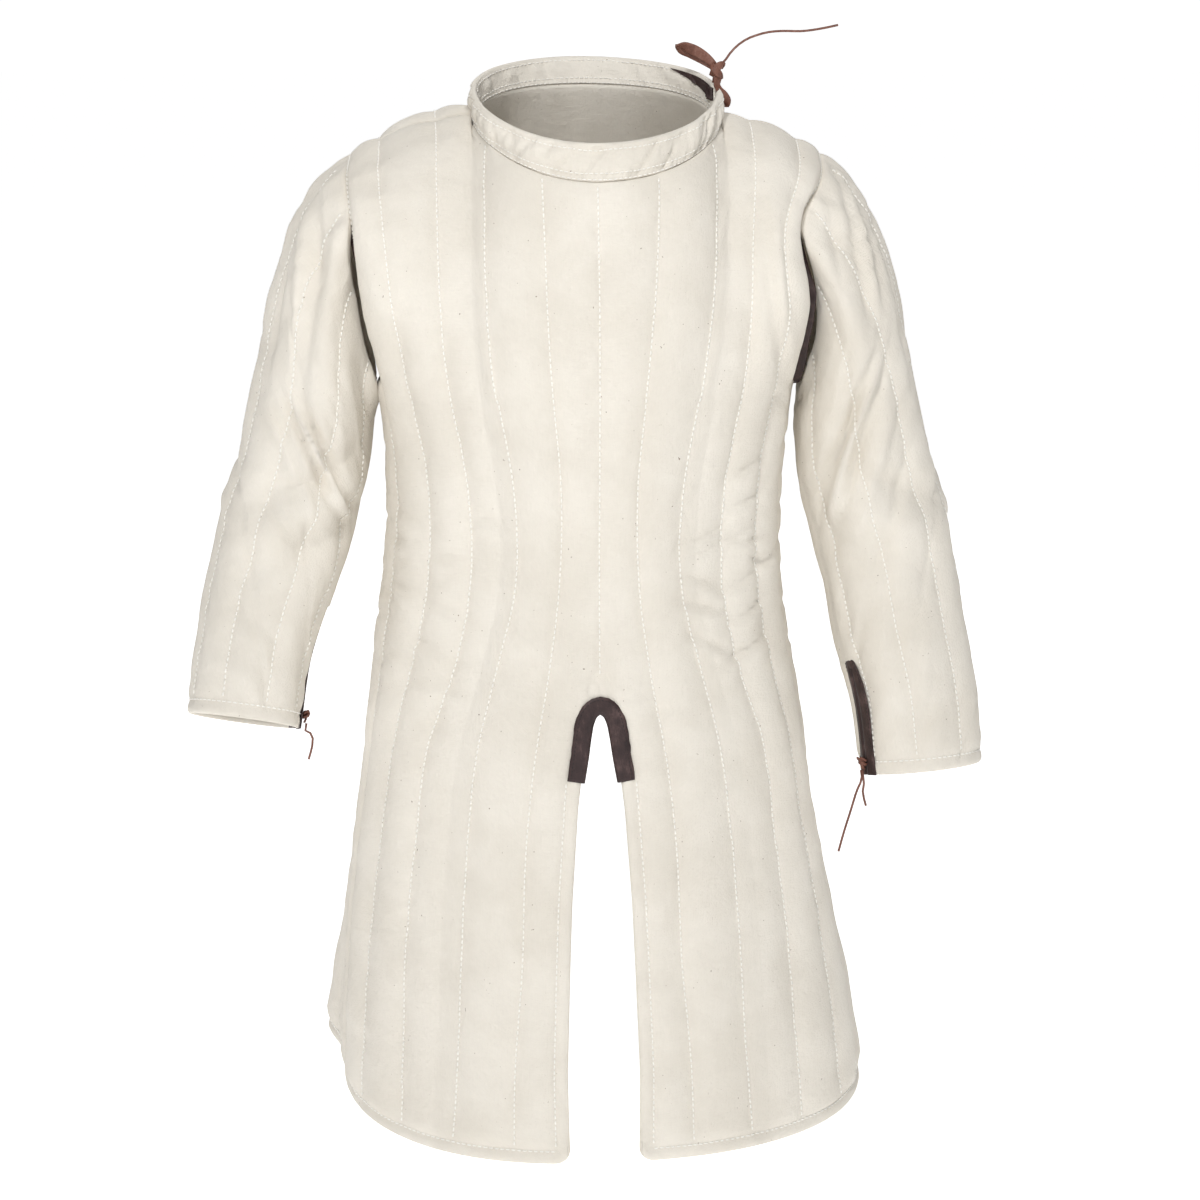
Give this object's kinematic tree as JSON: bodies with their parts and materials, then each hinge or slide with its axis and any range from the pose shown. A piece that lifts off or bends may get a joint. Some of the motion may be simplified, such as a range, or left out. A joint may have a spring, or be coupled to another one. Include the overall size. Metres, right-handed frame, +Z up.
{
  "type": "gambeson",
  "caption": "Quilted arming coat in cream cotton, worn hollow form with standing collar, shoulder-sewn sleeves, centre slits and leather laces.",
  "frame": {"origin": "neck point of the shoulders, on the middle of the shoulder line, where the wearer holds the coat up", "axes": "+Z up, the front faces -Y, the wearer's left is +X"},
  "size_m": [0.7432, 0.3588, 1.0182],
  "materials": {
    "cotton": "quilted cotton canvas, matt",
    "dark_leather": "dark brown, semi-matt",
    "lace_leather": "red-brown thong, semi-matt"
  },
  "bodies": {
    "root": {"front": "cotton", "back": "cotton", "sleeve_left": "cotton", "sleeve_right": "cotton", "collar": "cotton", "front_slit_binding": "dark_leather", "back_slit_binding": "dark_leather", "cuff_binding_left": "dark_leather", "cuff_binding_right": "dark_leather", "armhole_facing_left": "dark_leather", "armhole_facing_right": "dark_leather", "collar_facing": "dark_leather", "collar_lace": "lace_leather", "cuff_lace_left": "lace_leather", "cuff_lace_right": "lace_leather", "collar_tail": "lace_leather", "cuff_tail_left_long": "lace_leather", "cuff_tail_left_short": "lace_leather", "cuff_tail_right_short": "lace_leather"}
  },
  "joints": []
}
